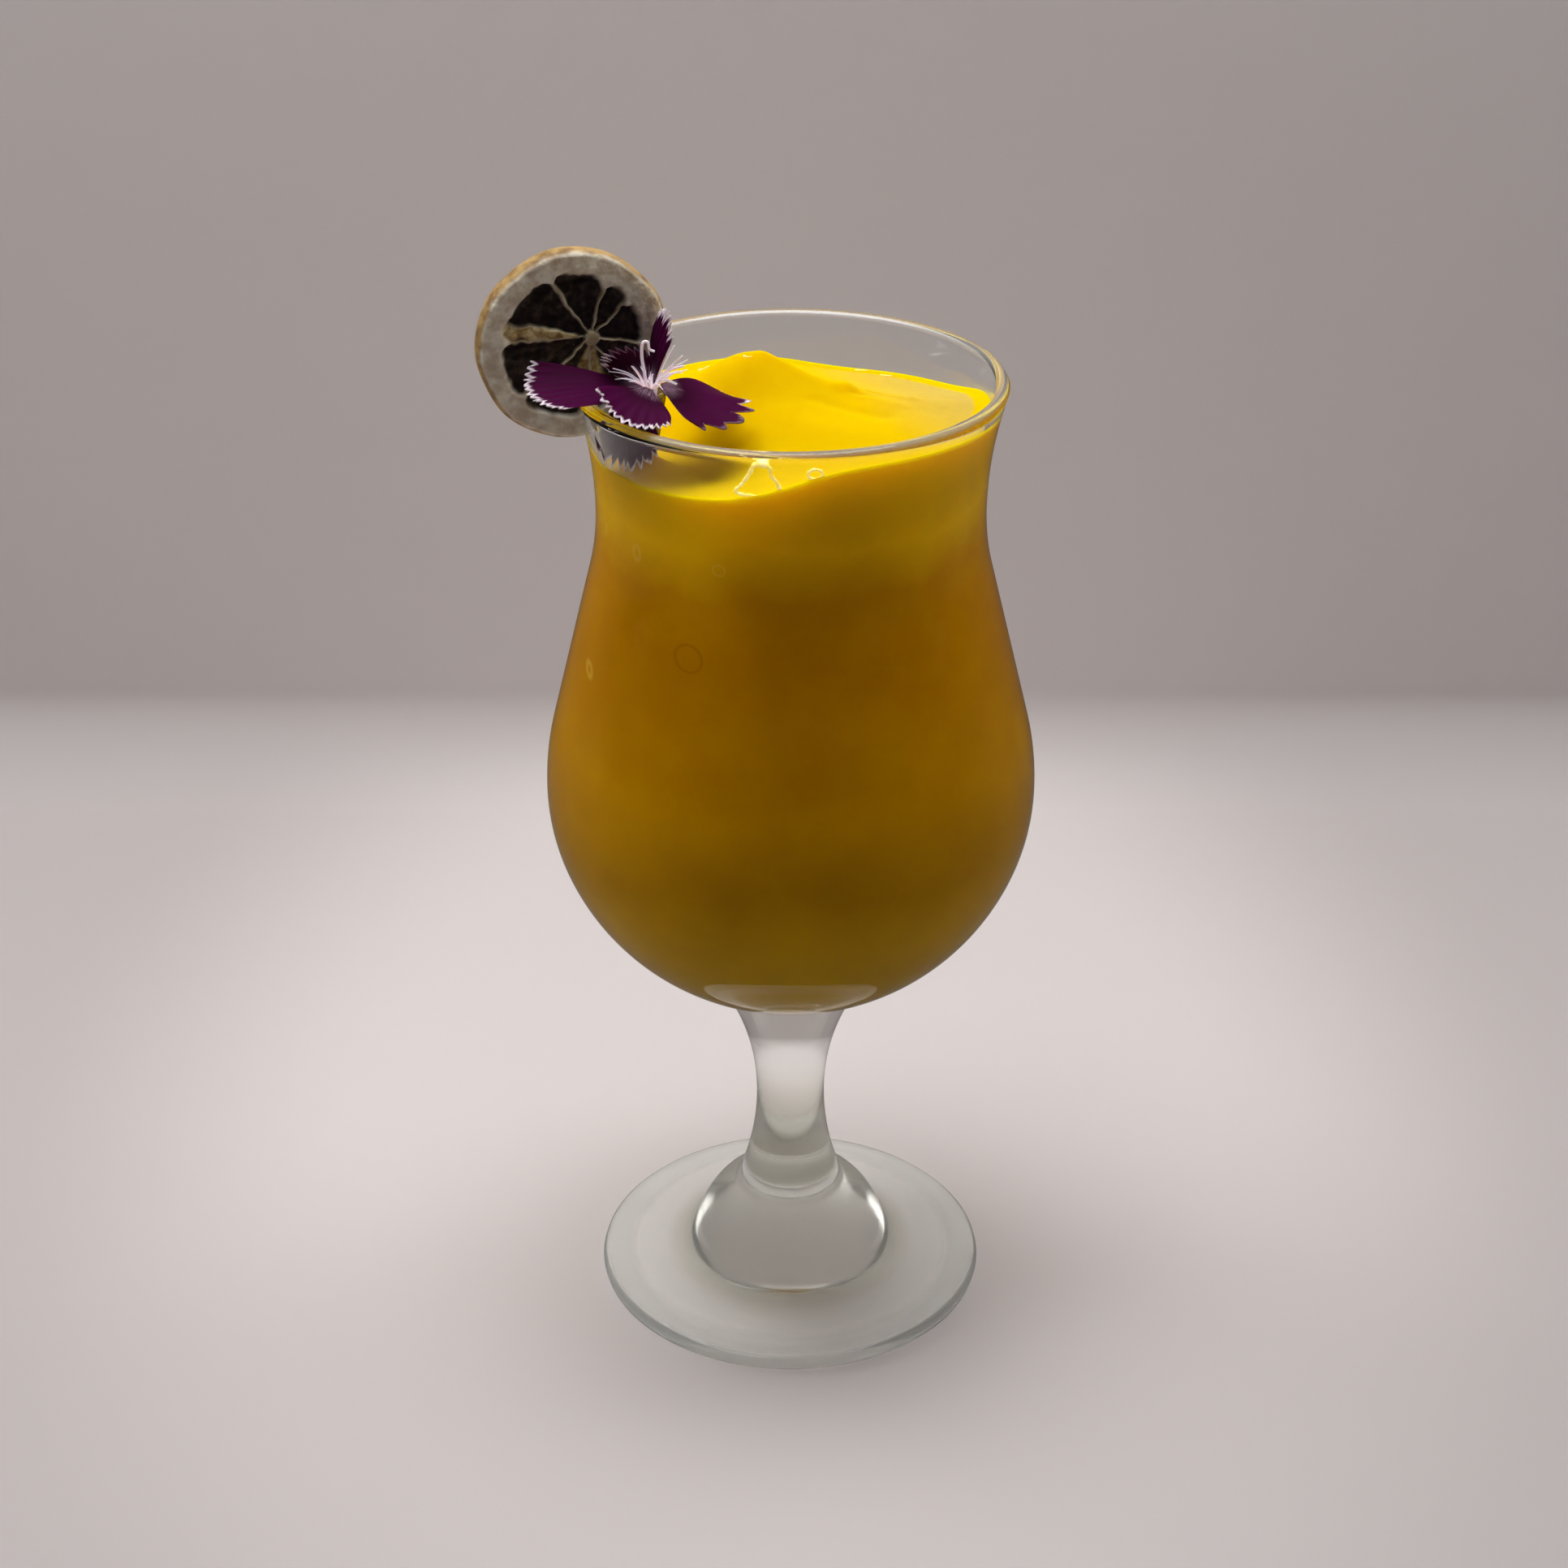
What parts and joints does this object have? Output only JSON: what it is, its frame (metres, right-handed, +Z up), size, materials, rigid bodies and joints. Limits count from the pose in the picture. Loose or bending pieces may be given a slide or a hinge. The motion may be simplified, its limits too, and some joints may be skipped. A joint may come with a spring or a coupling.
{
  "type": "cocktail",
  "caption": "Frozen mango daiquiri in a footed tulip glass, with a dried citrus wheel on the rim and a fringed purple flower beside it.",
  "frame": {"origin": "centre of the ring that the foot stands on, on the table plane", "axes": "+Z up along the glass's axis, -Y towards the front, -X towards the citrus wheel's side"},
  "size_m": [0.0913, 0.0842, 0.2],
  "materials": {
    "clear_glass": "clear pressed soda glass",
    "mango_slush": "wet frozen mango puree",
    "dried_citrus": "dry rind over darkened pulp",
    "calyx_green": "matt green plant tissue",
    "petal_purple": "velvety petal with a pale fringe",
    "style_white": "pale matt thread"
  },
  "bodies": {
    "root": {"glass": "clear_glass", "daiquiri": "mango_slush", "citrus_wheel": "dried_citrus", "calyx": "calyx_green", "petal_left": "petal_purple", "petal_front": "petal_purple", "petal_right": "petal_purple", "petal_upright": "petal_purple", "petal_back": "petal_purple", "petal_tucked": "petal_purple", "style_tall": "style_white", "style_right": "style_white", "style_short": "style_white"}
  },
  "joints": []
}
